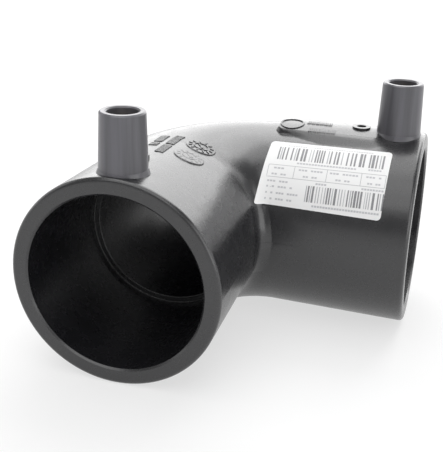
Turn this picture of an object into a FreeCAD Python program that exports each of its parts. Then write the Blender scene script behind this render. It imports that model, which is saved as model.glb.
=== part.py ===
# Ninety degree electrofusion elbow for 50 mm polyethylene pipe.
# One black moulding with two sockets and two terminal shrouds, a heating wire wound
# in the wall of both sockets, a brass terminal pin in each shroud and a printed label.
#
# Frame: the two socket axes meet at the origin and lie in the XY plane. The left
# socket opens towards -Y, the right socket towards +X, and the shrouds stand up (+Z).
import FreeCAD
import Part
import Sketcher
import math
import os
import re

Vector = FreeCAD.Vector
Rotation = FreeCAD.Rotation
Placement = FreeCAD.Placement

# Driving dimensions, in millimetres and degrees
SIZES = {
    "leg_length": 72.8,              # from the meeting of the axes to a mouth
    "outer_radius": 30.0,            # outside of the sockets at their mouths
    "socket_wall": 4.8,              # from the pipe's bore to the outside, at a mouth
    "bend_taper": 1.0,               # how much slimmer the bend is than the mouths
    "crotch_round": 1.5,
    "stop_step": 1.7,                # ledge that the pipe's end meets
    "stop_clearance": 4.9,           # from the waterway's round to the pipe stop
    "mouth_round": 1.3,              # outer edge of a mouth
    "mouth_chamfer": 0.5,            # lead-in for the pipe
    "shroud_setback": 8.4,           # from a mouth to the shroud's axis
    "shroud_rise": 15.8,             # from the top of a mouth to the shroud's rim
    "shroud_top_radius": 6.15,
    "shroud_foot_radius": 6.7,
    "shroud_bore_radius": 4.25,
    "shroud_depth": 12.0,
    "shroud_flare": 0.5,             # widening of the shroud where it meets the socket
    "shroud_flare_rise": 0.5,
    "shroud_flare_drop": 1.0,
    "shroud_rim_bevel": 0.4,
    "shroud_rim_chamfer": 0.4,
    "pin_radius": 2.0,
    "stem_radius": 1.6,              # the moulded-in part of a pin
    "pin_below_rim": 3.2,
    "pin_chamfer": 0.4,
    "coil_skin": 0.8,                # wall between the bore and the winding
    "coil_thickness": 0.9,
    "coil_setback": 9.0,             # from a mouth to the first turn
    "coil_clearance": 6.4,           # from the last turn to the pipe stop
    "lead_width": 0.8,               # wire that links the two windings
    "indicator_setback": 19.8,       # from a mouth to the fusion indicator
    "indicator_radius": 2.8,
    "indicator_height": 1.0,
    "indicator_hole_radius": 1.45,
    "indicator_hole_depth": 3.2,
    "plate_reach": 2.5,              # how far the raised plate runs on over the bend
    "plate_setback": 14.3,           # from the right mouth to the plate's end
    "plate_half_angle": 13.5,
    "plate_height": 0.5,
    "plate_corner": 2.0,
    "label_gap": 0.2,                # from the bend to the label's start
    "label_setback": 7.9,            # from the right mouth to the label's end
    "label_top_angle": 25.0,         # from the top of the socket, towards the front
    "label_low_angle": 67.5,
    "label_thickness": 0.12,
    "label_corner": 1.2,
    "root": 2.0,                     # how deep an added feature starts under the surface
    "margin": 1.0,                   # how far a cut runs past the surface that it opens
}

# Dimensions that follow from the driving ones
DERIVED = {
    "bend_outer_radius": "outer_radius - bend_taper",
    "bend_radius": "bend_outer_radius + crotch_round",
    "bore_radius": "outer_radius - socket_wall",
    "waterway_radius": "bore_radius - stop_step",
    "pipe_stop": "waterway_radius + stop_clearance",
    "coil_near": "pipe_stop + coil_clearance",
    "shroud_top": "outer_radius + shroud_rise",
    "plate_start": "bend_radius - plate_reach",
    "plate_end": "leg_length - plate_setback",
    "label_start": "bend_radius + label_gap",
    "label_end": "leg_length - label_setback",
}

# Each leg: the turn that lays a feature's own axis along it, and where the leg points
LEGS = {
    "left": (Rotation(Vector(1, 0, 0), 90), Vector(0, -1, 0)),
    "right": (Rotation(Vector(0, 1, 0), 90), Vector(1, 0, 0)),
}

doc = FreeCAD.newDocument("elbow")
sheet = doc.addObject("Spreadsheet::Sheet", "Sizes")
cells = {alias: str(number) for alias, number in SIZES.items()}
cells.update((alias, "=" + formula) for alias, formula in DERIVED.items())
for row, (alias, content) in enumerate(cells.items(), start=1):
    sheet.set("A%d" % row, alias)
    sheet.set("B%d" % row, content)
    sheet.setAlias("B%d" % row, alias)
doc.recompute()

SHROUD = "(leg_length - shroud_setback)"
FLOOR = "(shroud_top - shroud_depth)"
INDICATOR = "(leg_length - indicator_setback)"
COIL_INSIDE = "(bore_radius + coil_skin)"
COIL_OUTSIDE = "(bore_radius + coil_skin + coil_thickness)"
COIL_MIDDLE = "(bore_radius + coil_skin + coil_thickness / 2)"
ROUND_START = "(mouth_round * (1 - sqrt(0.5)))"
ROUND_REST = "(mouth_round * sqrt(0.5))"
TURNED_KIND = {"Additive": "Revolution", "Subtractive": "Groove"}


def bind(item, name, text):
    """Ties a property to the sizes: each alias in the text is read from the sheet."""
    def cell(match):
        word = match.group(0)
        return "Sizes." + word if word in cells else word
    item.setExpression(name, re.sub("[a-z_]+", cell, text))


def size(alias):
    """A dimension's value, read from the sheet."""
    return float(sheet.get(alias))


def new_body(label):
    body = doc.addObject("PartDesign::Body", label)
    body.Label = label
    return body


def solid(body, kind, name, where, turn=None, **sizes):
    """Adds or cuts a primitive such as AdditiveCylinder, placed and sized by the sheet."""
    feature = body.newObject("PartDesign::" + kind, name)
    feature.Placement = Placement(Vector(), turn or Rotation())
    for axis, text in zip("xyz", where):
        bind(feature, "Placement.Base." + axis, text)
    for key, text in sizes.items():
        bind(feature, key, text)
    return feature


def along(side, distance, height="0"):
    """A place on a leg, at a distance from the origin and a height over the axis."""
    if side == "left":
        return ("0", "-(%s)" % distance, height)
    return (distance, "0", height)


def leg_cylinder(body, kind, name, side, start, length, radius, height="0"):
    return solid(body, kind, name, along(side, start, height), LEGS[side][0],
                 Radius=radius, Height=length)


def plane(body, role):
    """One of the body's own origin planes."""
    for feature in body.Origin.OriginFeatures:
        if feature.Role == role:
            return feature
    raise ValueError(role)


def sketch_on(body, role, name):
    sketch = body.newObject("Sketcher::SketchObject", name)
    sketch.AttachmentSupport = [(plane(body, role), "")]
    sketch.MapMode = "FlatFace"
    return sketch


def distance(sketch, kind, line, text, start):
    """Fixes one coordinate of a line's first point by an expression."""
    index = sketch.addConstraint(Sketcher.Constraint(kind, -1, 1, line, 1, start))
    bind(sketch, "Constraints[%d]" % index, text)


def rectangle(sketch, left, right, low, high):
    """A closed rectangle whose sides are placed by four expressions."""
    side = 9.0
    corners = [Vector(0, 0), Vector(side, 0), Vector(side, side), Vector(0, side)]
    for k in range(4):
        sketch.addGeometry(Part.LineSegment(corners[k], corners[(k + 1) % 4]))
    for k in range(4):
        sketch.addConstraint(Sketcher.Constraint("Coincident", k, 2, (k + 1) % 4, 1))
    for k in (0, 2):
        sketch.addConstraint(Sketcher.Constraint("Horizontal", k))
        sketch.addConstraint(Sketcher.Constraint("Vertical", k + 1))
    distance(sketch, "DistanceX", 0, left, 0)
    distance(sketch, "DistanceY", 0, low, 0)
    distance(sketch, "DistanceX", 2, right, side)
    distance(sketch, "DistanceY", 2, high, side)


def turned(body, kind, name, sketch, axis, angle, midplane=False, backwards=False):
    """Adds or cuts the sketch, turned about one of its own axes."""
    feature = body.newObject("PartDesign::" + kind, name)
    feature.Profile = sketch
    feature.ReferenceAxis = (sketch, [axis])
    feature.Midplane = midplane
    feature.Reversed = backwards
    bind(feature, "Angle", angle)
    return feature


def points_on(edge):
    """The ends of an edge and five points between them."""
    first, last = edge.ParameterRange
    steps = 6
    return [edge.valueAt(first + (last - first) * k / steps) for k in range(steps + 1)]


def edges_where(feature, test):
    """Names of the edges whose points all pass the test."""
    doc.recompute()
    names = []
    for number, edge in enumerate(feature.Shape.Edges, start=1):
        if all(test(point) for point in points_on(edge)):
            names.append("Edge%d" % number)
    if not names:
        raise ValueError("no edge found on " + feature.Label)
    return names


def dressed(body, kind, name, test, text):
    """A fillet or chamfer on the edges of the body's last feature that pass the test."""
    base = body.Tip
    names = edges_where(base, test)
    feature = body.newObject("PartDesign::" + kind, name)
    feature.Base = (base, names)
    bind(feature, "Radius" if kind == "Fillet" else "Size", text)
    return feature


def near(first, second):
    tolerance = 0.01
    return abs(first - second) < tolerance


def leg_distance(side, point):
    return point.dot(LEGS[side][1])


def leg_radius(side, point):
    """Distance of a point from a leg's axis."""
    return (point - LEGS[side][1] * leg_distance(side, point)).Length


def shroud_radius(side, point):
    """Distance of a point from the upright axis of a leg's shroud."""
    reach = size("leg_length") - size("shroud_setback")
    centre = LEGS[side][1] * reach
    return math.hypot(point.x - centre.x, point.y - centre.y)


def mouth_edge(side, radius):
    def test(point):
        at_mouth = near(leg_distance(side, point), size("leg_length"))
        return at_mouth and near(leg_radius(side, point), size(radius))
    return test


def shroud_rim(side, radius):
    def test(point):
        at_rim = near(point.z, size("shroud_top"))
        return at_rim and near(shroud_radius(side, point), size(radius))
    return test


def plate_corner(point):
    at_start = near(point.x, size("plate_start"))
    beside = near(math.degrees(math.atan2(abs(point.y), point.z)), size("plate_half_angle"))
    return at_start and beside


def winding(body, kind, side):
    """The close-wound heating wire of one socket, as a turned sleeve."""
    sketch = sketch_on(body, "XY_Plane", kind + "_" + side + "_winding_sketch")
    far = "(leg_length - coil_setback)"
    if side == "left":
        axis = "V_Axis"
        rectangle(sketch, COIL_INSIDE, COIL_OUTSIDE, "-" + far, "-coil_near")
    else:
        axis = "H_Axis"
        rectangle(sketch, "coil_near", far, COIL_INSIDE, COIL_OUTSIDE)
    turned(body, TURNED_KIND[kind], kind + "_" + side + "_winding", sketch, axis, "360")


def lead(body, kind):
    """The flat wire that leads over the bend from one winding to the other."""
    low = COIL_MIDDLE + " - lead_width / 2"
    solid(body, kind + "Box", kind + "_left_lead", ("-lead_width / 2", "-coil_near", low),
          Length="lead_width", Width="coil_near - bend_radius", Height="lead_width")
    sketch = sketch_on(body, "XZ_Plane", kind + "_lead_sketch")
    bind(sketch, "AttachmentOffset.Base.x", "bend_radius")
    bind(sketch, "AttachmentOffset.Base.z", "bend_radius")
    rectangle(sketch, "-bend_radius - lead_width / 2", "-bend_radius + lead_width / 2",
              low, COIL_MIDDLE + " + lead_width / 2")
    turned(body, TURNED_KIND[kind], kind + "_bend_lead", sketch, "V_Axis", "90",
           backwards=True)
    solid(body, kind + "Box", kind + "_right_lead", ("bend_radius", "-lead_width / 2", low),
          Length="coil_near - bend_radius", Width="lead_width", Height="lead_width")


def stem(body, kind, side):
    """The part of a terminal pin that is moulded into the wall, down to the winding."""
    solid(body, kind + "Cylinder", kind + "_stem_" + side, along(side, SHROUD, COIL_MIDDLE),
          Radius="stem_radius", Height=FLOOR + " - " + COIL_MIDDLE)


def quarter_ring(body, kind, name, middle, radius):
    """A quarter of a ring from leg to leg, round an upright axis beside the crotch."""
    solid(body, kind + "Torus", name, (middle, "-" + middle, "0"),
          Rotation(Vector(0, 0, 1), 90), Radius1=middle, Radius2=radius, Angle3="90")


def socket(body, side, skin="0"):
    """A tapered socket from the bend to the rounding of its mouth, grown by a skin."""
    solid(body, "AdditiveCone", side + "_socket", along(side, "bend_radius"), LEGS[side][0],
          Radius1="bend_outer_radius + " + skin, Radius2="outer_radius + " + skin,
          Height="leg_length - mouth_round - bend_radius")


def mouths(body):
    """The outer edge of each mouth, rounded by two bevels."""
    for side in LEGS:
        solid(body, "AdditiveCone", side + "_mouth_shoulder",
              along(side, "leg_length - mouth_round"), LEGS[side][0],
              Radius1="outer_radius", Radius2="outer_radius - " + ROUND_START,
              Height=ROUND_REST)
        solid(body, "AdditiveCone", side + "_mouth_corner",
              along(side, "leg_length - " + ROUND_START), LEGS[side][0],
              Radius1="outer_radius - " + ROUND_START, Radius2="outer_radius - mouth_round",
              Height=ROUND_START)


def shrouds(body):
    """Tapered round towers over the terminals, one near each mouth."""
    for side in LEGS:
        solid(body, "AdditiveCone", side + "_shroud",
              along(side, SHROUD, "outer_radius - root"), Radius1="shroud_foot_radius",
              Radius2="shroud_top_radius",
              Height="shroud_top - shroud_rim_bevel - outer_radius + root")
        solid(body, "AdditiveCone", side + "_shroud_rim",
              along(side, SHROUD, "shroud_top - shroud_rim_bevel"),
              Radius1="shroud_top_radius", Radius2="shroud_top_radius - shroud_rim_bevel",
              Height="shroud_rim_bevel")
        solid(body, "AdditiveCone", side + "_shroud_flare",
              along(side, SHROUD, "outer_radius - shroud_flare_drop"),
              Radius1="shroud_foot_radius + shroud_flare", Radius2="shroud_foot_radius",
              Height="shroud_flare_rise + shroud_flare_drop")


def plate(body):
    """A low raised plate along the top of the right socket, for moulded marks."""
    sketch = sketch_on(body, "XZ_Plane", "plate_sketch")
    rectangle(sketch, "plate_start", "plate_end", "outer_radius - root",
              "outer_radius + plate_height")
    turned(body, "Revolution", "plate", sketch, "H_Axis", "2 * plate_half_angle",
           midplane=True)
    dressed(body, "Fillet", "plate_corner_fillet", plate_corner, "plate_corner")


def indicators(body):
    """A fusion indicator on each socket: a boss with a blind hole."""
    top = "(outer_radius + indicator_height)"
    floor = "(outer_radius + indicator_height - indicator_hole_depth)"
    for side in LEGS:
        solid(body, "AdditiveCylinder", side + "_indicator",
              along(side, INDICATOR, "outer_radius - root"),
              Radius="indicator_radius", Height="indicator_height + root")
        solid(body, "SubtractiveCylinder", side + "_indicator_hole",
              along(side, INDICATOR, floor), Radius="indicator_hole_radius",
              Height=top + " - " + floor + " + margin")


def waterway(body):
    """The bores for the pipe and the narrower way round the bend, between the pipe stops."""
    for side in LEGS:
        leg_cylinder(body, "SubtractiveCylinder", side + "_bore", side, "pipe_stop",
                     "leg_length - pipe_stop + margin", "bore_radius")
    quarter_ring(body, "Subtractive", "bend_inside", "pipe_stop", "waterway_radius")
    for side in LEGS:
        dressed(body, "Chamfer", side + "_mouth_chamfer", mouth_edge(side, "bore_radius"),
                "mouth_chamfer")


def shroud_bores(body):
    for side in LEGS:
        solid(body, "SubtractiveCylinder", side + "_shroud_bore", along(side, SHROUD, FLOOR),
              Radius="shroud_bore_radius", Height="shroud_depth + margin")
        dressed(body, "Chamfer", side + "_shroud_rim_chamfer",
                shroud_rim(side, "shroud_bore_radius"), "shroud_rim_chamfer")
        stem(body, "Subtractive", side)


def make_moulding():
    body = new_body("elbow_body")
    quarter_ring(body, "Additive", "bend_outside", "bend_radius", "bend_outer_radius")
    for side in LEGS:
        socket(body, side)
    mouths(body)
    shrouds(body)
    plate(body)
    waterway(body)
    shroud_bores(body)
    for side in LEGS:
        winding(body, "Subtractive", side)
    lead(body, "Subtractive")
    indicators(body)
    return body


def make_coil():
    body = new_body("heating_coil")
    winding(body, "Additive", "left")
    lead(body, "Additive")
    winding(body, "Additive", "right")
    return body


def make_pin(side):
    """A brass terminal pin, moulded in, standing on the winding."""
    body = new_body("terminal_pin_" + side)
    stem(body, "Additive", side)
    solid(body, "AdditiveCylinder", "contact_" + side, along(side, SHROUD, FLOOR),
          Radius="pin_radius", Height="shroud_depth - pin_below_rim")
    tip = size("shroud_top") - size("pin_below_rim")
    dressed(body, "Chamfer", "tip_chamfer_" + side, lambda point: near(point.z, tip),
            "pin_chamfer")
    leg_cylinder(body, "SubtractiveCylinder", "winding_seat_" + side, side, "coil_near",
                 "leg_length - coil_near", COIL_OUTSIDE)
    return body


def make_label(moulding):
    """A thin printed label, wrapped on the front of the right socket."""
    sheet = new_body("label_sheet")
    socket(sheet, "right", "label_thickness")
    blank = new_body("label_blank")
    sketch = sketch_on(blank, "XY_Plane", "label_sketch")
    sketch.AttachmentOffset = Placement(Vector(), Rotation(Vector(1, 0, 0), 90))
    bind(sketch, "AttachmentOffset.Rotation.Angle", "90 + label_top_angle")
    rectangle(sketch, "label_start", "label_end", "bend_outer_radius - root",
              "outer_radius + margin")
    turned(blank, "Revolution", "label_wrap", sketch, "H_Axis",
           "label_low_angle - label_top_angle")
    corners = []
    for end in ("label_start", "label_end"):
        for turn in ("label_top_angle", "label_low_angle"):
            corners.append((size(end), size(turn)))

    def at_corner(point):
        turn = math.degrees(math.atan2(-point.y, point.z))
        return any(near(point.x, reach) and near(turn, angle) for reach, angle in corners)

    dressed(blank, "Fillet", "label_corner_fillet", at_corner, "label_corner")
    cover = doc.addObject("Part::Common", "label_cover")
    cover.Base = sheet
    cover.Tool = blank
    label = doc.addObject("Part::Cut", "label")
    label.Base = cover
    label.Tool = moulding
    label.Label = "label"
    return label


moulding = make_moulding()
parts = [moulding, make_coil(), make_pin("left"), make_pin("right"), make_label(moulding)]
doc.recompute()

for item in doc.Objects:
    if "Invalid" in item.State or "Error" in item.State:
        raise RuntimeError("%s failed: %s" % (item.Label, item.State))
os.makedirs("parts", exist_ok=True)
for part in parts:
    shape = part.Shape
    if shape.isNull() or not shape.isValid() or len(shape.Solids) != 1:
        raise RuntimeError("bad shape: " + part.Label)
    shape.exportStep("parts/%s.step" % part.Label)
    print(part.Label, "volume", round(shape.Volume, 1), "faces", len(shape.Faces))
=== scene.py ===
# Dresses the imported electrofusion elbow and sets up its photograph.
# The CAD frame: the socket axes meet at the origin and lie in the XY plane, the left
# socket opens towards -Y, the right one towards +X, and the shrouds stand up (+Z).
# The elbow's sizes and the camera's place are in millimetres, the studio is in metres.
# A reach is a distance along a leg's axis from where the axes meet, and a turn is an angle
# in degrees round that axis, from the top towards the space between the legs.
import math

import bpy
from mathutils import Matrix, Vector


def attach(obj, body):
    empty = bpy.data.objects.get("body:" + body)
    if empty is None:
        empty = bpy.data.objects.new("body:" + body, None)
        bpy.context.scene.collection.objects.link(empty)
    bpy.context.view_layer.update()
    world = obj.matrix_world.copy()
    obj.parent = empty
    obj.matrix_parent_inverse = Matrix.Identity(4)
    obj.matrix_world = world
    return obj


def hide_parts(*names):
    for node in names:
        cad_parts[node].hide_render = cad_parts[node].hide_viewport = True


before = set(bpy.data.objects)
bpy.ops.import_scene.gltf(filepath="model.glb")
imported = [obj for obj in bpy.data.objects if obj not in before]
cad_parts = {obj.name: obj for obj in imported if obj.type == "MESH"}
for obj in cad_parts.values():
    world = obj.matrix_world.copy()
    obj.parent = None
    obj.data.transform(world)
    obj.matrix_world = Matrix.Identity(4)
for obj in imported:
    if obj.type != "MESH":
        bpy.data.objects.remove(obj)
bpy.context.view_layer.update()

MM = 0.001

# The moulding, as in the CAD model: a bend between two tapered sockets. BEND_RADIUS is
# the radius of the bend's axis and BEND_SECTION that of its section.
BEND_RADIUS = 30.5
BEND_SECTION = 29.0
LEG_LENGTH = 72.8
MOUTH_RADIUS = 30.0
MOUTH_ROUND = 1.3
TAPER_LENGTH = LEG_LENGTH - MOUTH_ROUND - BEND_RADIUS
BORE_RADIUS = 25.2
WATERWAY_RADIUS = 23.5
PIPE_STOP = 28.4
SHROUD_REACH = 64.4
PLATE_RADIUS = 30.5

# One degree round a leg, as a length on the bend's outside
DEGREE = math.radians(1) * BEND_SECTION

# How far a form lies under the moulding where it runs into it, and how far the walls of
# raised marks go under it
SINK = 0.03
MARK_FOOT = 0.1

# The photograph's camera: its place, the directions of its right side and of its view,
# and its focal length in pixels of the photograph
CAMERA_PLACE = (85.94, -268.06, 101.49)
CAMERA_RIGHT = (0.95735, 0.28758, 0.02774)
CAMERA_AHEAD = (-0.25783, 0.89373, -0.3671)
FOCAL_PIXELS = 880.794
IMAGE_WIDTH = 443
SENSOR_WIDTH = 36.0
CLIP_START = 10.0


def add_camera():
    """The camera, with the place, the turn and the lens that the photograph shows."""
    data = bpy.data.cameras.new("camera")
    data.sensor_fit = "HORIZONTAL"
    data.sensor_width = SENSOR_WIDTH
    data.lens = FOCAL_PIXELS * SENSOR_WIDTH / IMAGE_WIDTH
    data.clip_start = CLIP_START * MM
    camera = bpy.data.objects.new("camera", data)
    right = Vector(CAMERA_RIGHT).normalized()
    back = -Vector(CAMERA_AHEAD).normalized()
    up = back.cross(right).normalized()
    turn = Matrix((right, up, back)).transposed().to_4x4()
    camera.matrix_world = Matrix.Translation(Vector(CAMERA_PLACE) * MM) @ turn
    bpy.context.scene.collection.objects.link(camera)
    bpy.context.scene.camera = camera


# Nodes

def new_material(name):
    """A new material, its node tree and its shader."""
    material = bpy.data.materials.new(name)
    material.use_nodes = True
    tree = material.node_tree
    return material, tree, tree.nodes["Principled BSDF"]


def node(tree, kind, **values):
    """A new node, with its settings and the values of its inputs by their names."""
    made = tree.nodes.new("ShaderNode" + kind)
    for key, value in values.items():
        if hasattr(made, key):
            setattr(made, key, value)
        else:
            made.inputs[key.replace("_", " ")].default_value = value
    return made


def noise(tree, scale, detail, roughness=0.5, stretch=(1, 1, 1)):
    """A noise texture's values over the object."""
    place = node(tree, "TexCoord")
    drawn = node(tree, "Mapping", Scale=stretch)
    texture = node(tree, "TexNoise", Scale=scale, Detail=detail, Roughness=roughness)
    tree.links.new(place.outputs["Object"], drawn.inputs["Vector"])
    tree.links.new(drawn.outputs["Vector"], texture.inputs["Vector"])
    return texture.outputs["Fac"]


def spread(tree, source, low, high, start=0.0, end=1.0):
    """Maps values from start..end to low..high."""
    ramp = node(tree, "MapRange", From_Min=start, From_Max=end, To_Min=low, To_Max=high)
    tree.links.new(source, ramp.inputs["Value"])
    return ramp.outputs["Result"]


def blend(tree, factor, first, second):
    """Goes from the first to the second by the factor; each is a socket or a colour."""
    mix = node(tree, "MixRGB")
    tree.links.new(factor, mix.inputs["Fac"])
    for name, source in (("Color1", first), ("Color2", second)):
        if isinstance(source, tuple):
            mix.inputs[name].default_value = source
        else:
            tree.links.new(source, mix.inputs[name])
    return mix.outputs["Color"]


def combined(tree, operation, sources):
    """One value from several, by a math operation on the first two, then the next."""
    total = sources[0]
    for source in sources[1:]:
        step = node(tree, "Math", operation=operation)
        tree.links.new(total, step.inputs[0])
        tree.links.new(source, step.inputs[1])
        total = step.outputs["Value"]
    return total


def distance(tree, place, keep, centre):
    """How far a place is from a centre, in the directions where keep is one."""
    flat = node(tree, "VectorMath", operation="MULTIPLY")
    flat.inputs[1].default_value = keep
    tree.links.new(place, flat.inputs[0])
    gap = node(tree, "VectorMath", operation="DISTANCE")
    gap.inputs[1].default_value = centre
    tree.links.new(flat.outputs["Vector"], gap.inputs[0])
    return gap.outputs["Value"]


def bumps(tree, shader, layers):
    """Bump layers, each (height socket, strength, depth), one over another."""
    last = None
    for height, strength, depth in layers:
        bump = node(tree, "Bump", Strength=strength, Distance=depth * MM)
        tree.links.new(height, bump.inputs["Height"])
        if last is not None:
            tree.links.new(last, bump.inputs["Normal"])
        last = bump.outputs["Normal"]
    tree.links.new(last, shader.inputs["Normal"])


# Materials

# Where the shrouds are: nearer to their axes than one distance and, so that the sockets
# under them stay out, further from the sockets' axes than another; each distance is a
# narrow range over which the material changes
SHROUD_RANGE = (7.28, 7.32)
SOCKET_RANGE = (29.94, 30.02)


def near_shrouds(tree):
    """One on the terminal shrouds and nought elsewhere, by the place on the object."""
    place = node(tree, "TexCoord").outputs["Object"]
    reach = SHROUD_REACH * MM
    from_shrouds = combined(tree, "MINIMUM", [
        distance(tree, place, (1, 1, 0), centre) for centre in ((0, -reach, 0), (reach, 0, 0))])
    from_sockets = combined(tree, "MINIMUM", [
        distance(tree, place, keep, (0, 0, 0)) for keep in ((0, 1, 1), (1, 0, 1))])
    start, end = SHROUD_RANGE
    inside = spread(tree, from_shrouds, 1, 0, start * MM, end * MM)
    start, end = SOCKET_RANGE
    above = spread(tree, from_sockets, 0, 1, start * MM, end * MM)
    return combined(tree, "MULTIPLY", [inside, above])


# The black plastic's two colours, its range of roughness and how much it mirrors
PLASTIC_IOR = 1.54
PLASTIC_DARK = (0.008, 0.008, 0.009, 1)
PLASTIC_PALE = (0.012, 0.012, 0.014, 1)
PLASTIC_ROUGHNESS = (0.24, 0.30)
PLASTIC_SPECULAR = 0.75

# The same for the shrouds, with the streaks along them as a stretch of the noise
SHROUD_DARK = (0.054, 0.053, 0.060, 1)
SHROUD_PALE = (0.098, 0.096, 0.109, 1)
SHROUD_ROUGHNESS = 0.33
SHROUD_SPECULAR = 0.6
STREAK_STRETCH = (1, 1, 0.03)

# Bump of the plastic: a strength for both, and the depths of the mottle and the grain
PLASTIC_BUMP = 0.012
MOTTLE_DEPTH = 0.1
GRAIN_DEPTH = 0.02


def polyethylene(name, shrouds=False):
    """Semi-gloss black polyethylene; the terminal shrouds are duller and greyer."""
    material, tree, shader = new_material(name)
    shader.inputs["IOR"].default_value = PLASTIC_IOR
    shader.inputs["Specular IOR Level"].default_value = PLASTIC_SPECULAR
    mottle = noise(tree, scale=260.0, detail=4.0, roughness=0.6)
    grain = noise(tree, scale=2200.0, detail=3.0, roughness=0.6)
    colour = blend(tree, mottle, PLASTIC_DARK, PLASTIC_PALE)
    gloss = spread(tree, mottle, *PLASTIC_ROUGHNESS, start=0.3, end=0.7)
    if shrouds:
        mask = near_shrouds(tree)
        streaks = noise(tree, scale=300.0, detail=4.0, roughness=0.6, stretch=STREAK_STRETCH)
        streaks = spread(tree, streaks, 0, 1, start=0.35, end=0.65)
        dull = blend(tree, streaks, SHROUD_DARK, SHROUD_PALE)
        colour = blend(tree, mask, colour, dull)
        gloss = blend(tree, mask, gloss, (SHROUD_ROUGHNESS,) * 3 + (1,))
        mirror = spread(tree, mask, PLASTIC_SPECULAR, SHROUD_SPECULAR)
        tree.links.new(mirror, shader.inputs["Specular IOR Level"])
    tree.links.new(colour, shader.inputs["Base Color"])
    tree.links.new(gloss, shader.inputs["Roughness"])
    bumps(tree, shader, [(mottle, PLASTIC_BUMP, MOTTLE_DEPTH),
                         (grain, PLASTIC_BUMP, GRAIN_DEPTH)])
    return material


COPPER = (0.80, 0.42, 0.26, 1)
COPPER_ROUGHNESS = 0.3
BRASS = (0.80, 0.62, 0.30, 1)
BRASS_ROUGHNESS = 0.28

# How much glossier and how much duller scratches make a metal here and there
METAL_GLOSSIER = 0.08
METAL_DULLER = 0.1
SCRATCH_BUMP = 0.1
SCRATCH_DEPTH = 0.02


def metal(name, colour, roughness):
    """A metal with fine scratches."""
    material, tree, shader = new_material(name)
    shader.inputs["Metallic"].default_value = 1.0
    shader.inputs["Base Color"].default_value = colour
    scratches = noise(tree, scale=1500.0, detail=3.0)
    gloss = spread(tree, scratches, roughness - METAL_GLOSSIER, roughness + METAL_DULLER)
    tree.links.new(gloss, shader.inputs["Roughness"])
    bumps(tree, shader, [(scratches, SCRATCH_BUMP, SCRATCH_DEPTH)])
    return material


FILM_COLOUR = (0.74, 0.74, 0.74, 1)
FILM_ROUGHNESS = (0.34, 0.44)
FILM_SPECULAR = 0.2
FILM_BUMP = 0.05
FILM_DEPTH = 0.02


def film():
    """The label's white film."""
    material, tree, shader = new_material("label_film")
    shader.inputs["Base Color"].default_value = FILM_COLOUR
    shader.inputs["Specular IOR Level"].default_value = FILM_SPECULAR
    grain = noise(tree, scale=900.0, detail=2.0)
    tree.links.new(spread(tree, grain, *FILM_ROUGHNESS), shader.inputs["Roughness"])
    bumps(tree, shader, [(grain, FILM_BUMP, FILM_DEPTH)])
    return material


# Inks on the label by their darkest grey, and what red, green and blue are times that
# grey where an ink is dark and where it is thin
INKS = (("ink_dark", 0.16), ("ink_mid", 0.30), ("ink_pale", 0.36))
INK_DARK, INK_MID, INK_PALE = range(len(INKS))
DARK_TINT = (1.0, 1.0, 1.06)
THIN_TINT = (1.5, 1.5, 1.56)
INK_ROUGHNESS = 0.45


def ink(name, grey):
    """Thermal print: a little uneven, as the film shows through."""
    material, tree, shader = new_material(name)
    patches = noise(tree, scale=1800.0, detail=3.0)
    dark = tuple(grey * part for part in DARK_TINT) + (1,)
    thin = tuple(grey * part for part in THIN_TINT) + (1,)
    tree.links.new(blend(tree, patches, dark, thin), shader.inputs["Base Color"])
    shader.inputs["Roughness"].default_value = INK_ROUGHNESS
    return material


def dress(name, material):
    """Gives a CAD node's object a material."""
    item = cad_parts[name]
    if not item.material_slots:
        item.data.materials.append(material)
    for place in item.material_slots:
        place.link = "OBJECT"
        place.material = material


dress("elbow_body", polyethylene("polyethylene", shrouds=True))
dress("heating_coil", metal("copper_wire", COPPER, COPPER_ROUGHNESS))
brass = metal("pin_brass", BRASS, BRASS_ROUGHNESS)
dress("terminal_pin_left", brass)
dress("terminal_pin_right", brass)
plastic = polyethylene("polyethylene_marks")
seam_plastic = polyethylene("polyethylene_seam")


# Places on the moulding

def eased(value):
    """Nought up to nought, one from one on, and a soft rise from one to the other."""
    value = min(1.0, max(0.0, value))
    return value * value * (3 - 2 * value)


def between(corners, u, v):
    """The place at the shares u and v of the way across and down a four-cornered field,
    whose corners run round from the upper left."""
    weights = ((1 - u) * (1 - v), u * (1 - v), u * v, (1 - u) * v)
    return tuple(sum(w * corner[k] for w, corner in zip(weights, corners)) for k in (0, 1))


def leg_place(side, along, across, height):
    """A place by a leg's own directions: along its axis, across it towards the space
    between the legs, and up."""
    if side == "right":
        return along, -across, height
    return across, -along, height


def leg_radius(reach):
    """The radius of a leg's outside at a reach along its axis."""
    taper = max(0.0, reach - BEND_RADIUS) / TAPER_LENGTH
    return BEND_SECTION + (MOUTH_RADIUS - BEND_SECTION) * taper


def on_leg(side, reach, turn, lift):
    """A place at a reach and a turn on a leg's outside, with its height over it."""
    turn = math.radians(turn)
    radius = leg_radius(reach) + lift
    along, across = reach, radius * math.sin(turn)
    if reach < BEND_RADIUS:
        from_centre = BEND_RADIUS - across
        swept = math.asin(min(1.0, (BEND_RADIUS - reach) / from_centre))
        along = BEND_RADIUS - from_centre * math.sin(swept)
        across = BEND_RADIUS - from_centre * math.cos(swept)
    return leg_place(side, along, across, radius * math.cos(turn))


# The raised plate: its ends along the right leg, its front edge as a turn, and the round
# of its corners
PLATE_ENDS = (28.0, 58.5)
PLATE_EDGE = 13.5
PLATE_CORNER = 2.0

# The width of the slope round it at the left end, its full width at the front and right,
# and how far from the left end it is that wide
LEFT_SLOPE = 0.9
SLOPE = 5.0
SLOPE_GROWTH = 16.0


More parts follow.
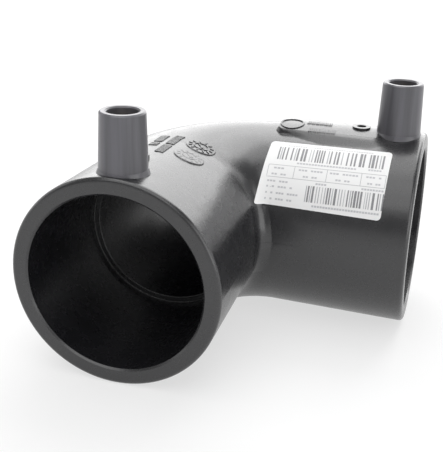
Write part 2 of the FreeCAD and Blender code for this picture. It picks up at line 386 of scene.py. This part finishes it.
def plate_rise(reach, turn):
    """How far the plate and the slope round it stand over the right leg's outside."""
    middle = (PLATE_ENDS[0] + PLATE_ENDS[1]) / 2
    half = (PLATE_ENDS[1] - PLATE_ENDS[0]) / 2 - PLATE_CORNER
    past_end = max(0.0, abs(reach - middle) - half)
    past_edge = max(0.0, (turn - PLATE_EDGE) * DEGREE + PLATE_CORNER)
    outside = math.hypot(past_end, past_edge) - PLATE_CORNER
    grown = eased((reach - PLATE_ENDS[0]) / SLOPE_GROWTH)
    width = LEFT_SLOPE + (SLOPE - LEFT_SLOPE) * grown
    return (PLATE_RADIUS - leg_radius(reach)) * (1 - eased(outside / width))


def on_plate(side, reach, turn, lift):
    """A place as on_leg gives it, over the raised plate and the slope round it."""
    return on_leg(side, reach, turn, plate_rise(reach, turn) + lift)


# Meshes

def add_piece(name, points, faces, materials, face_materials=None, smooth=True):
    """A mesh that rides on the elbow; face_materials has a material's number a face."""
    mesh = bpy.data.meshes.new(name)
    mesh.from_pydata([[value * MM for value in point] for point in points], [], faces)
    for material in materials:
        mesh.materials.append(material)
    for number, polygon in enumerate(mesh.polygons):
        polygon.use_smooth = smooth
        if face_materials:
            polygon.material_index = face_materials[number]
    piece = bpy.data.objects.new(name, mesh)
    bpy.context.scene.collection.objects.link(piece)
    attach(piece, "root")
    return piece


def grid_faces(lines, places, closed=False, first=0):
    """Faces between lines of as many places each, numbered one line after another from
    the first; closed also joins the last line to the first."""
    faces = []
    for i in range(lines if closed else lines - 1):
        here = first + i * places
        after = first + (i + 1) % lines * places
        for j in range(places - 1):
            faces.append((here + j, here + j + 1, after + j + 1, after + j))
    return faces


class Sheet:
    """Collects patches that follow a surface, as one mesh."""

    def __init__(self, surface, side):
        self.surface = surface
        self.side = side
        self.points = []
        self.faces = []
        self.materials = []

    def place(self, reach, turn, lift):
        """Adds a point and gives its number."""
        self.points.append(self.surface(self.side, reach, turn, lift))
        return len(self.points) - 1

    def add_faces(self, faces, material=0):
        """Adds faces of one material, by its number."""
        self.faces += faces
        self.materials += [material] * len(faces)

    def patch(self, corners, lift, material, steps, wall=0.0):
        """A patch with four corners, each (reach, turn), in so many steps across and
        down, and with side walls where a depth is given for them."""
        columns, rows = steps
        grid = []
        for j in range(rows + 1):
            line = []
            for i in range(columns + 1):
                reach, turn = between(corners, i / columns, j / rows)
                line.append((self.place(reach, turn, lift), reach, turn))
            grid.append(line)
        self.add_faces(grid_faces(rows + 1, columns + 1, first=grid[0][0][0]), material)
        if wall:
            # The patch's border: its upper, right, lower and left side
            rim = grid[0][:-1] + [line[-1] for line in grid[:-1]]
            rim += grid[-1][:0:-1] + [line[0] for line in grid[:0:-1]]
            low = [self.place(reach, turn, lift - wall) for _, reach, turn in rim]
            for k in range(len(rim)):
                after = (k + 1) % len(rim)
                self.add_faces([(rim[k][0], low[k], low[after], rim[after][0])], material)

    def stroke(self, start, end, width, lift, material=0, wall=0.0, steps=1):
        """A straight stroke of a width between two places, each (reach, turn)."""
        run = (end[0] - start[0], (end[1] - start[1]) * DEGREE)
        length = math.hypot(run[0], run[1])
        side = (-run[1] / length * width / 2, run[0] / length * width / 2 / DEGREE)
        corners = [(start[0] - side[0], start[1] - side[1]),
                   (end[0] - side[0], end[1] - side[1]),
                   (end[0] + side[0], end[1] + side[1]),
                   (start[0] + side[0], start[1] + side[1])]
        self.patch(corners, lift, material, (steps, 1), wall)

    def row(self, row, marks, width, lift, material=0, wall=0.0):
        """A row of equal marks: where it starts as (reach, turn), its width, its height
        in degrees, how many marks have room in it, and which of them are gaps."""
        start, length, height, count, gaps = row
        step = length / count
        for k in range(count):
            if k in gaps:
                continue
            for x0, y0, x1, y1 in marks:
                first = (start[0] + step * (k + x0), start[1] + height * (1 - y0))
                last = (start[0] + step * (k + x1), start[1] + height * (1 - y1))
                self.stroke(first, last, width, lift, material, wall)

    def piece(self, name, materials, slot):
        """Makes the piece of what the sheet has, with sharp edges."""
        add_piece(name, self.points, self.faces, materials, self.materials, smooth=False)


# Marks for rows, each as strokes (from x, y to x, y) in a box one wide and one high
DASH = ((0, 0.5, 0.78, 0.5),)
HATCH = ((0.15, 0, 0.15, 1), (0.6, 0, 0.6, 1))


# The label: white film on the front of the right socket, run on over the bend's start

# Its corners as (reach, turn): upper left, upper right, lower right and lower left
LABEL_CORNERS = ((27.6, 23.7), (64.5, 24.8), (64.1, 68.5), (26.7, 66.8))
LABEL_SIZE = (37.2, 22.0)
LABEL_CORNER = 1.2

# How high the film and the print on it lie over the socket
FILM_LIFT = 0.12
PRINT_LIFT = 0.14


def add_label():
    """The film with rounded corners, in columns from its left to its right end."""
    width, height = LABEL_SIZE
    round_steps, plain_steps, rows = 6, 24, 30
    rounded = [LABEL_CORNER * (1 - math.cos(math.radians(90 * k / round_steps)))
               for k in range(round_steps)]
    plain = [LABEL_CORNER + (width - 2 * LABEL_CORNER) * k / plain_steps
             for k in range(plain_steps + 1)]
    columns = rounded + plain + [width - across for across in reversed(rounded)]
    points = []
    for across in columns:
        past = max(0.0, LABEL_CORNER - min(across, width - across))
        inset = LABEL_CORNER - math.sqrt(LABEL_CORNER ** 2 - past ** 2)
        for j in range(rows + 1):
            down = inset + (height - 2 * inset) * j / rows
            reach, turn = between(LABEL_CORNERS, across / width, down / height)
            points.append(on_leg("right", reach, turn, FILM_LIFT))
    faces = grid_faces(len(columns), rows + 1)
    piece = add_piece("label_sheet", points, faces, [film()])
    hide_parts("label")


# Bars as (gap before, width), in shares that fill a block
BARS_TOP = ((0, 4), (3, 3), (3, 4), (6, 4), (10, 4), (6, 3), (3, 5), (7, 6), (3, 6), (9, 2),
            (5, 3), (6, 4), (3, 4), (3, 4), (3, 4), (9, 3), (4, 4), (8, 4), (4, 5), (7, 3),
            (11, 4), (8, 4), (5, 5), (9, 7), (3, 5), (12, 4), (3, 7), (4, 4), (6, 3), (4, 5))
BARS_LOW = ((0, 3), (3, 5), (3, 3), (3, 6), (6, 3), (5, 3), (7, 2), (6, 3), (4, 5), (3, 4),
            (4, 3), (4, 7), (6, 3), (5, 3), (6, 2), (7, 4), (4, 3), (3, 4), (3, 7), (3, 5),
            (3, 6), (8, 2), (4, 3), (4, 3), (6, 7), (8, 4), (3, 3), (5, 4))

# Blocks of bars: the reach where one starts, its width, and its top and foot as turns
BAR_BLOCKS = ((BARS_TOP, 30.6, 32.0, 28.2, 38.0), (BARS_LOW, 41.2, 23.0, 53.3, 63.0))
BAR_STEPS = 5

# Bars under this share are printed paler
FULL_BAR = 4

# The table's lines: turns of the level ones, reaches of the upright ones, their width
LEVEL_LINES = (42.0, 50.0)
UPRIGHT_LINES = (28.7, 36.7, 46.6, 56.8, 63.9)
LINE = 0.16
LEVEL_STEPS = 24
UPRIGHT_STEPS = 5

# Rows of dashes, as Sheet.row takes them: the thin ones at the top, then the others
THIN_ROWS = (((33.0, 26.3), 6.0, 1.1, 8, ()), ((41.0, 26.3), 18.0, 1.1, 24, ()))
LABEL_ROWS = (
    ((37.0, 38.8), 18.0, 1.8, 20, ()), ((58.4, 38.6), 4.0, 1.6, 5, ()),
    ((30.4, 43.2), 4.4, 1.8, 4, (3,)), ((38.0, 43.2), 7.4, 1.8, 8, (3,)),
    ((47.4, 43.2), 8.6, 1.8, 9, (3,)), ((58.2, 43.2), 4.6, 1.8, 5, (3,)),
    ((30.0, 47.2), 4.6, 1.8, 5, (2,)), ((39.6, 47.2), 4.4, 1.8, 5, (2,)),
    ((49.4, 47.2), 4.4, 1.8, 5, (2,)), ((58.8, 47.2), 4.0, 1.8, 5, (2,)),
    ((29.0, 51.6), 6.6, 2.0, 7, (3,)), ((29.0, 55.0), 8.2, 2.0, 9, (3, 7)),
    ((29.0, 58.8), 10.2, 2.0, 12, (3, 7)), ((29.0, 62.4), 8.6, 2.0, 10, (3, 7)),
    ((43.8, 51.0), 3.4, 1.5, 4, ()), ((57.4, 50.9), 6.6, 1.7, 8, ()),
    ((43.6, 64.2), 20.0, 1.6, 24, ()))
DASH_WIDTH = 0.56
THIN_DASH_WIDTH = 0.336


def add_print():
    """Plain bars, a table's lines and rows of dashes on the film."""
    sheet = Sheet(on_leg, "right")
    for bars, start, width, top, foot in BAR_BLOCKS:
        share = width / sum(gap + bar for gap, bar in bars)
        reach = start
        for gap, bar in bars:
            reach += gap * share
            end = reach + bar * share
            material = INK_DARK if bar >= FULL_BAR else INK_MID
            corners = ((reach, top), (end, top), (end, foot), (reach, foot))
            sheet.patch(corners, PRINT_LIFT, material, (1, BAR_STEPS))
            reach = end
    for turn in LEVEL_LINES:
        sheet.stroke((UPRIGHT_LINES[0], turn), (UPRIGHT_LINES[-1], turn), LINE, PRINT_LIFT,
                     INK_MID, steps=LEVEL_STEPS)
    for reach in UPRIGHT_LINES:
        sheet.stroke((reach, LEVEL_LINES[0]), (reach, LEVEL_LINES[1]), LINE, PRINT_LIFT,
                     INK_MID, steps=UPRIGHT_STEPS)
    for row in THIN_ROWS:
        sheet.row(row, DASH, THIN_DASH_WIDTH, PRINT_LIFT, INK_PALE)
    for row in LABEL_ROWS:
        sheet.row(row, DASH, DASH_WIDTH, PRINT_LIFT, INK_PALE)
    sheet.piece("label_print", [ink(name, grey) for name, grey in INKS], "label")


# Marks moulded on the outside

# The discs: name, reach and turn of the hub, and how high and wide their strokes are
DISCS = (("date_disc_front", 39.7, 19.8, 0.05, 0.25),
         ("date_disc_back", 29.0, 19.8, 0.20, 0.36))
DISC_RADIUS = 4.4
DISC_HEIGHT = 0.3
DISC_SIDES = 40

# A disc's outline from the foot inwards: the distance from the hub and the height
DISC_OUTLINE = ((DISC_RADIUS + 0.25, -SINK), (DISC_RADIUS, DISC_HEIGHT * 0.7),
                (DISC_RADIUS - 0.2, DISC_HEIGHT), (DISC_RADIUS * 0.66, DISC_HEIGHT),
                (DISC_RADIUS * 0.33, DISC_HEIGHT))

# Its ticks, and how far from the hub they start and end
TICKS = 12
TICK_SPAN = (DISC_RADIUS * 0.62, DISC_RADIUS * 0.86)

# Its ring: the distance from the hub, the parts that it has, and as shares how far they
# overlap and how wide they are beside the other strokes
DIAL_RING = DISC_RADIUS * 0.48
DIAL_RING_PARTS = 24
DIAL_RING_OVERLAP = 0.1
DIAL_RING_WIDTH = 0.8

# Its pointer's strokes from the hub: the angle of each and how far out it goes
POINTER = ((0.9, DISC_RADIUS * 0.40), (0.9 + math.pi, DISC_RADIUS * 0.34),
           (0.4, DISC_RADIUS * 0.26), (1.4, DISC_RADIUS * 0.26))

# How far the walls of all these strokes go into the disc
DIAL_FOOT = 0.05


def add_disc(name, reach, turn, rise, width):
    """A dial of a mould's date insert: a raised disc, a ring, ticks and a pointer."""
    sheet = Sheet(on_leg, "left")

    def spot(out, angle):
        """A place on the disc, by its distance and its angle from the hub."""
        return reach + out * math.cos(angle), turn + out * math.sin(angle) / DEGREE

    def stroke(start, end, share=1.0):
        """A raised stroke with a share of the usual width."""
        sheet.stroke(start, end, width * share, DISC_HEIGHT + rise, wall=rise + DIAL_FOOT)

    rings = []
    for out, lift in DISC_OUTLINE:
        rings.append([sheet.place(*spot(out, math.tau * k / DISC_SIDES), lift)
                      for k in range(DISC_SIDES)])
    hub = sheet.place(reach, turn, DISC_HEIGHT)
    for k in range(DISC_SIDES):
        after = (k + 1) % DISC_SIDES
        for outer, inner in zip(rings, rings[1:]):
            sheet.add_faces([(outer[k], outer[after], inner[after], inner[k])])
        sheet.add_faces([(rings[-1][k], rings[-1][after], hub)])
    for k in range(TICKS):
        angle = math.tau * k / TICKS
        stroke(spot(TICK_SPAN[0], angle), spot(TICK_SPAN[1], angle))
    part = math.tau / DIAL_RING_PARTS
    for k in range(DIAL_RING_PARTS):
        stroke(spot(DIAL_RING, part * k), spot(DIAL_RING, part * (k + 1 + DIAL_RING_OVERLAP)),
               DIAL_RING_WIDTH)
    for angle, out in POINTER:
        stroke((reach, turn), spot(out, angle))
    sheet.piece(name, [plastic], "moulding")


# Rows of hatching, as Sheet.row takes them, with the height and width of their strokes:
# along the left socket, and on the raised plate
SOCKET_ROWS = (((26.7, -6.6), 11.2, 5.0, 10, (6,)), ((25.5, 1.7), 18.6, 5.0, 16, (8,)))
SOCKET_MARK_RISE = 0.2
SOCKET_MARK_STROKE = 0.28
PLATE_ROWS = (((36.2, -2.0), 8.0, 5.2, 6, ()), ((37.6, 9.8), 8.6, 4.4, 6, ()))
PLATE_MARK_RISE = 0.28
PLATE_MARK_STROKE = 0.34

# The ring on the plate: its middle, and its half width as a reach and a turn
OVAL_PLACE = (31.7, 4.8)
OVAL_HALF = (3.5, 7.6)
OVAL_STROKE = 0.52
OVAL_PARTS = 28


def add_socket_marks():
    """Two raised rows along the left socket."""
    sheet = Sheet(on_leg, "left")
    wall = SOCKET_MARK_RISE + MARK_FOOT
    for row in SOCKET_ROWS:
        sheet.row(row, HATCH, SOCKET_MARK_STROKE, SOCKET_MARK_RISE, wall=wall)
    sheet.piece("socket_marks", [plastic], "moulding")


def add_plate_marks():
    """Two raised rows on the plate, and the oval ring beside them."""
    sheet = Sheet(on_plate, "right")
    wall = PLATE_MARK_RISE + MARK_FOOT
    for row in PLATE_ROWS:
        sheet.row(row, HATCH, PLATE_MARK_STROKE, PLATE_MARK_RISE, wall=wall)
    spots = []
    for k in range(OVAL_PARTS + 1):
        angle = math.tau * k / OVAL_PARTS
        spots.append((OVAL_PLACE[0] + OVAL_HALF[0] * math.cos(angle),
                      OVAL_PLACE[1] + OVAL_HALF[1] * math.sin(angle)))
    for start, end in zip(spots, spots[1:]):
        sheet.stroke(start, end, OVAL_STROKE, PLATE_MARK_RISE, wall=wall)
    sheet.piece("plate_marks", [plastic], "moulding")


# How far as a turn the slope's mesh stays from the plate's back edge
BACK_GAP = 0.4


def add_plate_slope():
    """The soft slope from the plate's ends and front edge down to the socket."""
    columns, rows = 120, 56
    upper, lower = BACK_GAP - PLATE_EDGE, PLATE_EDGE + SLOPE / DEGREE
    left, right = PLATE_ENDS[0] - LEFT_SLOPE, PLATE_ENDS[1] + SLOPE
    points = []
    for i in range(columns + 1):
        reach = left + (right - left) * i / columns
        for j in range(rows + 1):
            turn = upper + (lower - upper) * j / rows
            points.append(on_plate("right", reach, turn, -SINK))
    faces = grid_faces(columns + 1, rows + 1)
    add_piece("plate_slope", points, faces, [plastic])


# The corner between the sockets: the radius of its round at mid height, and how far up
# and down from there the round goes
CROTCH_ROUND = 4.4
CROTCH_HEIGHT = 10.8
CROTCH_STEPS = 12


def in_crotch(height, part, lift=0.0):
    """A place on the crotch's round: part runs from 0 at the left leg to 1 at the right.
    Towards its ends the round narrows to the bend's own."""
    inner = math.sqrt(BEND_SECTION ** 2 - height ** 2)
    more = CROTCH_ROUND - (BEND_RADIUS - BEND_SECTION)
    size = BEND_RADIUS - inner + more * (1 - (height / CROTCH_HEIGHT) ** 2)
    centre = inner + size
    angle = math.radians(90 * part)
    radius = size - lift
    return centre - radius * math.cos(angle), -centre + radius * math.sin(angle), height


def add_crotch():
    """The round that fills the corner between the two sockets."""
    rows = 24
    points = []
    for j in range(rows + 1):
        height = CROTCH_HEIGHT * (2 * j / rows - 1)
        for i in range(CROTCH_STEPS + 1):
            points.append(in_crotch(height, i / CROTCH_STEPS))
    faces = grid_faces(rows + 1, CROTCH_STEPS + 1)
    add_piece("crotch_round", points, faces, [plastic])


# The mould's parting line: half its width, its height over the surface, and where it
# goes on along the right leg, in steps of a millimetre
SEAM_HALF = 0.16
SEAM_LIFT = 0.05
SEAM_START = 34.0
SEAM_STEPS = 8


def add_seam():
    """The parting line through the crotch and along the right leg's inner side."""
    seam = [in_crotch(0.0, i / CROTCH_STEPS, SEAM_LIFT) for i in range(CROTCH_STEPS + 1)]
    seam += [on_leg("right", SEAM_START + k, 90, SEAM_LIFT) for k in range(SEAM_STEPS)]
    points = []
    for x, y, z in seam:
        points += [(x, y, z - SEAM_HALF), (x, y, z + SEAM_HALF)]
    faces = grid_faces(len(seam), 2)
    add_piece("parting_seam", points, faces, [seam_plastic])


# How far the lip of a mouth is clear of the CAD model at its end
LIP_LIFT = 0.005
LIP_STEPS = 10

# The radius of the beads on the pipe stops
BEAD_RADIUS = 0.28
BEAD_SIDES = 12

# The sides of all that is turned about a leg's axis
RING_SIDES = 128


def add_turned(name, side, profile):
    """A profile of (reach, radius) places turned about a leg's axis."""
    points = []
    for k in range(RING_SIDES):
        angle = math.tau * k / RING_SIDES
        for reach, radius in profile:
            points.append(leg_place(side, reach, radius * math.sin(angle),
                                    radius * math.cos(angle)))
    faces = grid_faces(RING_SIDES, len(profile), closed=True)
    add_piece(name, points, faces, [plastic])


def add_lip(side):
    """The rounded lip of a mouth."""
    profile = []
    for k in range(LIP_STEPS + 1):
        angle = math.radians(90 * k / LIP_STEPS)
        reach = LEG_LENGTH - MOUTH_ROUND * (1 - math.sin(angle))
        radius = MOUTH_RADIUS - MOUTH_ROUND * (1 - math.cos(angle))
        profile.append((reach, radius + LIP_LIFT * math.sin(angle)))
    add_turned("mouth_lip_" + side, side, profile)


def add_bead(place, side, radius):
    """A thin bead on a pipe stop."""
    profile = []
    for k in range(BEAD_SIDES + 1):
        angle = math.radians(360 * k / BEAD_SIDES)
        profile.append((PIPE_STOP + BEAD_RADIUS * math.cos(angle),
                        radius + BEAD_RADIUS * math.sin(angle)))
    add_turned("stop_bead_%s_%s" % (place, side), side, profile)


add_label()
add_print()
for disc in DISCS:
    add_disc(*disc)
add_socket_marks()
add_plate_marks()
add_plate_slope()
add_crotch()
add_seam()
for side in ("left", "right"):
    add_lip(side)
    add_bead("outer", side, BORE_RADIUS)
    add_bead("inner", side, WATERWAY_RADIUS)


# Floor, backdrop and light

# The mouths stand on the floor. Where it is seen directly, FLOOR_WHITE is the share of
# plain white in it, and the rest is lit paper, which keeps the shadow.
FLOOR_HEIGHT = -MOUTH_RADIUS * MM
FLOOR_HALF = 8.0
FLOOR_COLOUR = (0.72, 0.72, 0.72, 1)
FLOOR_ROUGHNESS = 0.9
FLOOR_WHITE = 0.64


def seen_directly(tree):
    """One for what the camera sees, also in a gloss or through glass."""
    path = node(tree, "LightPath")
    rays = ("Is Camera Ray", "Is Glossy Ray", "Is Transmission Ray")
    return combined(tree, "MAXIMUM", [path.outputs[ray] for ray in rays])


def floor_paper():
    """Matt paper that the elbow's shadow falls on."""
    material, tree, shader = new_material("floor_paper")
    shader.inputs["Base Color"].default_value = FLOOR_COLOUR
    shader.inputs["Roughness"].default_value = FLOOR_ROUGHNESS
    shader.inputs["Specular IOR Level"].default_value = 0.0
    white = node(tree, "Emission", Color=(1, 1, 1, 1), Strength=1.0)
    mix = node(tree, "MixShader")
    tree.links.new(spread(tree, seen_directly(tree), 0, FLOOR_WHITE), mix.inputs["Fac"])
    tree.links.new(shader.outputs["BSDF"], mix.inputs[1])
    tree.links.new(white.outputs["Emission"], mix.inputs[2])
    tree.links.new(mix.outputs["Shader"], tree.nodes["Material Output"].inputs["Surface"])
    return material


def add_floor():
    """The square floor."""
    mesh = bpy.data.meshes.new("floor")
    corners = [(-FLOOR_HALF, -FLOOR_HALF), (FLOOR_HALF, -FLOOR_HALF),
               (FLOOR_HALF, FLOOR_HALF), (-FLOOR_HALF, FLOOR_HALF)]
    mesh.from_pydata([(x, y, FLOOR_HEIGHT) for x, y in corners], [], [(0, 1, 2, 3)])
    mesh.materials.append(floor_paper())
    floor = bpy.data.objects.new("floor", mesh)
    bpy.context.scene.collection.objects.link(floor)


# The room's brightness up to the horizon and high above it, and how steep a direction
# is where it begins to fall and where it ends: 0 is level and 1 is straight up
ROOM_LOW = 1.0
ROOM_HIGH = 0.36
ROOM_RANGE = (0.07, 0.2)


def add_world():
    """A plain studio room, white down at the horizon and greyer above it."""
    world = bpy.data.worlds.new("studio")
    bpy.context.scene.world = world
    world.use_nodes = True
    tree = world.node_tree
    tree.nodes.clear()
    out = node(tree, "OutputWorld")
    lit = node(tree, "Background", Strength=1.0)
    place = node(tree, "TexCoord")
    height = node(tree, "SeparateXYZ")
    tree.links.new(place.outputs["Generated"], height.inputs["Vector"])
    room = spread(tree, height.outputs["Z"], ROOM_LOW, ROOM_HIGH, *ROOM_RANGE)
    tree.links.new(room, lit.inputs["Color"])
    tree.links.new(lit.outputs["Background"], out.inputs["Surface"])


# Softboxes: name, place, width, depth and radiance; all face one place, which is on
# the right leg's axis
SOFTBOX_TARGET = (0.03, 0.0, 0.0)
SOFTBOXES = (
    ("back_low_softbox", (0.03, 1.05, 0.14), 1.7, 0.26, 2.4),
    ("back_softbox", (-0.15, 0.98, 0.50), 1.44, 0.5, 3.0),
    ("back_right_softbox", (0.78, 0.68, 0.38), 0.7, 0.6, 1.4),
    ("back_top_softbox", (0.0, 0.55, 0.80), 0.96, 0.55, 4.3),
    ("top_softbox", (0.0, 0.06, 0.95), 0.9, 0.45, 2.4),
    ("front_top_softbox", (0.0, -0.40, 0.85), 0.9, 0.36, 1.8),
    ("front_softbox", (0.0, -0.72, 0.70), 1.0, 0.3, 1.7),
    ("right_softbox", (0.95, -0.35, 0.35), 0.8, 0.7, 1.8),
    ("left_softbox", (-1.0, 0.1, 0.40), 0.8, 0.7, 0.9))


def add_softbox(name, place, width, depth, radiance):
    """A rectangular softbox of an even radiance."""
    data = bpy.data.lights.new(name, "AREA")
    data.shape = "RECTANGLE"
    data.size = width
    data.size_y = depth
    data.energy = radiance * width * depth * math.pi
    light = bpy.data.objects.new(name, data)
    light.location = place
    aim = Vector(SOFTBOX_TARGET) - Vector(place)
    light.rotation_euler = aim.to_track_quat("-Z", "Y").to_euler()
    bpy.context.scene.collection.objects.link(light)


add_camera()
add_world()
add_floor()
for softbox in SOFTBOXES:
    add_softbox(*softbox)

bpy.context.scene.view_settings.view_transform = "Standard"
